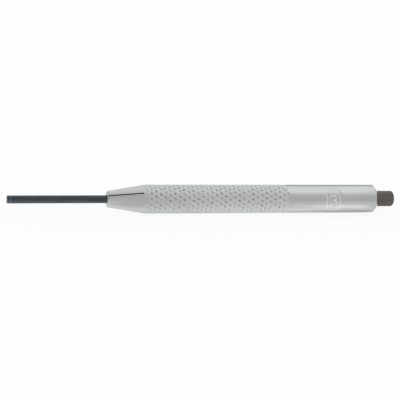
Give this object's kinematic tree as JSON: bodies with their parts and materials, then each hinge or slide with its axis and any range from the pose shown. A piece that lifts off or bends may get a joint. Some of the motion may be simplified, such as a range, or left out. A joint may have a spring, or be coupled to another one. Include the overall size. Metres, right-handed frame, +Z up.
{
  "type": "pin punch",
  "caption": "Parallel pin punch whose pin and striking shank slide in a knurled guide sleeve with a slotted conical nose.",
  "frame": {"origin": "on the common axis of pin, sleeve and shank, midway between the tip of the pin and the end of the head", "axes": "+X along the axis from the tip to the struck head, +Z up with the tool lying on its side, +Y to the left of +X"},
  "size_m": [0.15, 0.0107, 0.0108],
  "materials": {
    "plated_steel": "satin bright plating",
    "bush_steel": "fine turned",
    "spring_steel": "oiled spring steel",
    "shank_steel": "warm black oxide, satin",
    "nut_steel": "turned",
    "pin_steel": "blue-black oxide, ground"
  },
  "bodies": {
    "sleeve": {"guide_sleeve": "plated_steel", "rear_bush": "bush_steel"},
    "ring": {"stop_ring": "spring_steel"},
    "punch": {"striking_shank": "shank_steel", "pin_nut": "nut_steel", "drive_pin": "pin_steel"}
  },
  "joints": [
    {"name": "punch_slide", "type": "slide", "parent": "sleeve", "child": "ring", "axis": [1, 0, 0], "range_m": [0, 0.036]},
    {"name": "punch_turn", "type": "hinge", "parent": "ring", "child": "punch", "pos_m": [0, 0, 0], "axis": [1, 0, 0], "continuous": true}
  ]
}
